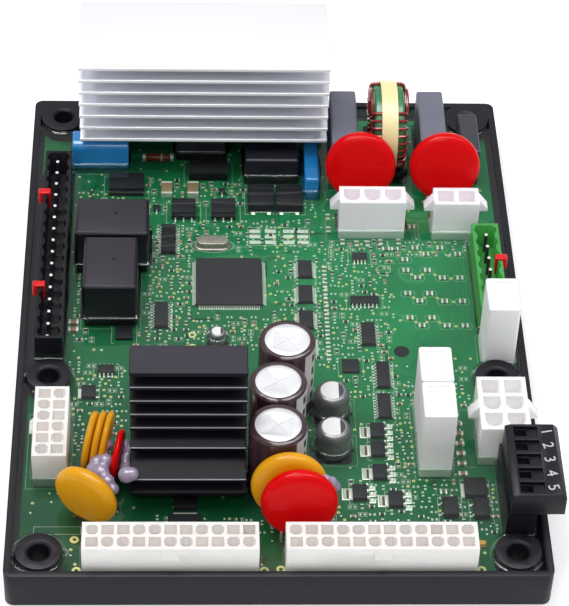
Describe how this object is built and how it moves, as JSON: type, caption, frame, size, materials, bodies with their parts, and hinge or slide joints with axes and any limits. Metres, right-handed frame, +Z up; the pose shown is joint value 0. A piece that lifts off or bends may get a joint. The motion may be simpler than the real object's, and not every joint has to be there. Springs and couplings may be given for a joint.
{
  "type": "generator control board",
  "caption": "Potted generator control board in an open tray with screw bosses, finned heat sinks, wire headers, relays, capacitors, varistors and a wound choke.",
  "frame": {"origin": "centre of the tray's flat underside", "axes": "+X to the right when read from the header end, +Y from the front headers to the large heat sink, +Z up out of the open tray"},
  "size_m": [0.1511, 0.1994, 0.052],
  "materials": {
    "tray_black": "satin moulded",
    "board_green": "solder mask",
    "clear_resin": "clear potting compound",
    "bare_aluminium": "extruded",
    "black_anodised": "black anodised aluminium",
    "moulded_black": "moulding compound",
    "tinned_metal": "tinned",
    "header_white": "moulded",
    "header_clear_white": "natural translucent",
    "pin_brass": "plated",
    "header_black": "moulded",
    "header_green": "moulded",
    "key_red": "moulded",
    "relay_black": "moulded cover",
    "ceramic_white": "fired ceramic",
    "cement_grey": "cast cement",
    "sleeve_brown": "shrink sleeve",
    "can_aluminium": "drawn",
    "film_grey": "moulded box",
    "film_dark": "moulded box",
    "film_blue": "dipped coating",
    "disc_red": "dipped coating",
    "disc_yellow": "dipped coating",
    "glue_clear": "set adhesive",
    "core_green": "coated powdered iron",
    "enamelled_wire": "enamelled copper",
    "tape_yellow": "tape",
    "chip_dark": "moulding compound",
    "diode_red": "coated glass",
    "ceramic_brown": "fired ceramic",
    "lamp_amber": "clear lens"
  },
  "bodies": {
    "root": {"tray": "tray_black", "circuit_board": "board_green", "potting_resin": "clear_resin", "large_heat_sink": "bare_aluminium", "small_heat_sink": "black_anodised", "power_devices": "moulded_black", "power_device_tabs": "tinned_metal", "sink_screws": "tinned_metal", "component_leads": "tinned_metal", "header_22_way": "header_white", "header_24_way": "header_white", "header_12_way": "header_white", "fine_header_pins": "pin_brass", "header_6_way": "header_clear_white", "header_3_way": "header_white", "header_2_way": "header_white", "coarse_header_pins": "tinned_metal", "header_16_way": "header_black", "header_7_way": "header_green", "header_5_way": "header_black", "pluggable_header_pins": "tinned_metal", "coding_keys": "key_red", "plug_5_way": "header_black", "plug_screws": "tinned_metal", "relay_1": "relay_black", "relay_2": "relay_black", "cement_resistors": "ceramic_white", "cement_fills": "cement_grey", "tall_can_sleeves": "sleeve_brown", "tall_can_bodies": "can_aluminium", "low_can_bodies": "can_aluminium", "low_can_bases": "moulded_black", "grey_film_capacitors": "film_grey", "dark_film_capacitor": "film_dark", "blue_capacitors": "film_blue", "black_modules": "moulded_black", "varistors_back": "disc_red", "varistors_yellow": "disc_yellow", "discs_front_red": "disc_red", "thin_discs_yellow": "disc_yellow", "glue_beads": "glue_clear", "choke_core": "core_green", "choke_windings": "enamelled_wire", "choke_tape": "tape_yellow", "choke_base": "moulded_black", "microcontroller": "chip_dark", "microcontroller_leads": "tinned_metal", "crystal": "tinned_metal", "chip_bodies": "chip_dark", "chip_leads": "tinned_metal", "power_chip_bodies": "chip_dark", "power_chip_tabs": "tinned_metal", "axial_diode": "diode_red", "axial_diode_ends": "tinned_metal", "chip_resistors": "moulded_black", "chip_capacitors": "ceramic_brown", "indicator_lamp": "lamp_amber"}
  },
  "joints": []
}
